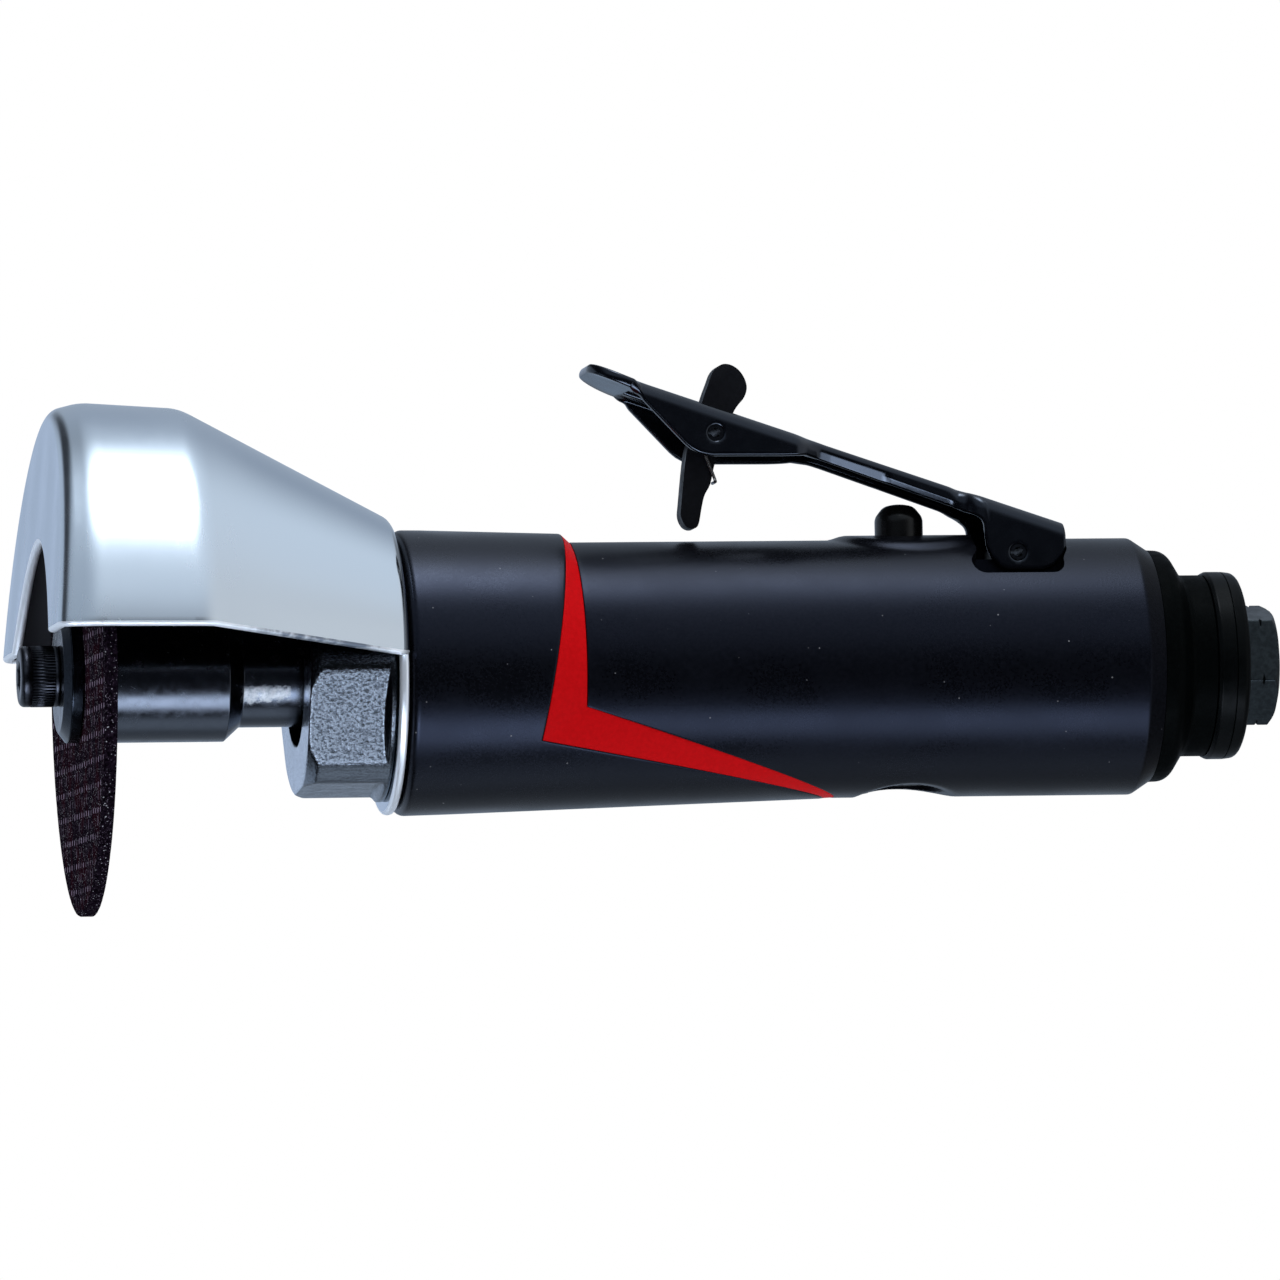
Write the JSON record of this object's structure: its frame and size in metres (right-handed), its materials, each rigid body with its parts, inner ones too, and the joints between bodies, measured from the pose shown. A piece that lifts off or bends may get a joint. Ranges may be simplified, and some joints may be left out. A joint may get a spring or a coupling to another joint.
{
  "type": "air cut-off tool",
  "caption": "Inline air cut-off tool: gripped round body with a vane motor, abrasive disc under a chrome half-hood, hinged throttle lever with folding safety catch and hexagon air inlet.",
  "frame": {"origin": "centre of the air inlet's mouth, on the tool's axis", "axes": "+X points out of the air inlet along the tool's axis, the disc lies towards -X, +Z is the throttle lever side"},
  "size_m": [0.1987, 0.0842, 0.0856],
  "materials": {
    "guard_chrome": "bright",
    "black_oxide": "black oxide",
    "cast_black": "rough cast, painted black",
    "abrasive": "gritty resin with glass mesh",
    "front_sleeve": "matt",
    "rear_sleeve": "satin, fine speckle",
    "accent_red": "satin",
    "cap_black": "satin",
    "inlet_steel": "dark phosphate",
    "lever_black": "satin black",
    "pin_steel": "plain",
    "spring_steel": "drawn wire",
    "plunger_steel": "black oxide",
    "housing_alu": "black anodised",
    "motor_steel": "ground",
    "motor_iron": "machined",
    "vane_resin": "laminate",
    "bush_brass": "turned",
    "seal_rubber": "moulded",
    "felt": "felt"
  },
  "bodies": {
    "housing": {"clamp_nut": "cast_black", "dust_seal": "felt", "front_bearing_outer": "motor_steel", "rear_bearing_outer": "motor_steel", "front_end_plate": "motor_iron", "cylinder": "motor_iron", "rear_end_plate": "motor_iron", "alignment_pin": "motor_steel", "motor_housing": "housing_alu", "front_grip": "front_sleeve", "accent_band": "accent_red", "rear_grip": "rear_sleeve", "rear_cap": "cap_black", "muffler": "felt", "inlet_bushing": "inlet_steel", "inlet_screen": "bush_brass", "inlet_washer": "seal_rubber", "lever_pin": "pin_steel", "plunger_bush": "bush_brass", "plunger_seal": "seal_rubber", "valve_spring": "spring_steel", "valve_plug": "bush_brass", "plug_seal": "seal_rubber"},
    "spindle": {"wheel_screw": "black_oxide", "outer_flange": "black_oxide", "cutting_disc": "abrasive", "arbor": "black_oxide", "front_bearing_inner": "motor_steel", "rotor": "motor_steel", "vanes": "vane_resin", "rear_bearing_inner": "motor_steel"},
    "front_balls": {"front_bearing_balls": "motor_steel"},
    "rear_balls": {"rear_bearing_balls": "motor_steel"},
    "lever": {"throttle_lever": "lever_black", "catch_pin": "pin_steel", "catch_spring": "spring_steel"},
    "catch": {"safety_catch": "lever_black"},
    "plunger": {"valve_plunger": "plunger_steel", "valve_seal": "seal_rubber"},
    "guard": {"guard": "guard_chrome"},
    "ring": {"exhaust_ring": "cap_black"}
  },
  "joints": [
    {"name": "spindle_spin", "type": "hinge", "parent": "housing", "child": "spindle", "pos_m": [-0.1, 0, 0], "axis": [1, 0, 0], "continuous": true},
    {"name": "front_balls_roll", "type": "hinge", "parent": "housing", "child": "front_balls", "pos_m": [-0.1285, 0, 0], "axis": [1, 0, 0], "continuous": true},
    {"name": "rear_balls_roll", "type": "hinge", "parent": "housing", "child": "rear_balls", "pos_m": [-0.071, 0, 0], "axis": [1, 0, 0], "continuous": true},
    {"name": "throttle_press", "type": "hinge", "parent": "housing", "child": "lever", "pos_m": [-0.0415, 0, 0.0176], "axis": [0, -1, 0], "range_deg": [0, 8], "stiffness_Nm_per_rad": 0.9, "springref_deg": -20.05},
    {"name": "catch_fold", "type": "hinge", "parent": "lever", "child": "catch", "pos_m": [-0.08923, 0, 0.03673], "axis": [0, -1, 0], "range_deg": [0, 88.5], "stiffness_Nm_per_rad": 0.002, "springref_deg": -45.84, "deforming": ["catch_spring"]},
    {"name": "plunger_slide", "type": "slide", "parent": "housing", "child": "plunger", "axis": [0, 0, -1], "range_m": [0, 0.0019], "deforming": ["valve_spring"]},
    {"name": "guard_turn", "type": "hinge", "parent": "housing", "child": "guard", "pos_m": [-0.141, 0, 0], "axis": [1, 0, 0], "continuous": true},
    {"name": "exhaust_turn", "type": "hinge", "parent": "housing", "child": "ring", "pos_m": [-0.008, 0, 0], "axis": [1, 0, 0], "continuous": true}
  ],
  "couplings": [
    {"joint": "front_balls_roll", "follows": "spindle_spin", "ratio": 0.381},
    {"joint": "rear_balls_roll", "follows": "spindle_spin", "ratio": 0.36},
    {"joint": "catch_fold", "follows": "throttle_press", "ratio": 11},
    {"joint": "plunger_slide", "follows": "throttle_press", "m_per_rad": 0.0129}
  ]
}
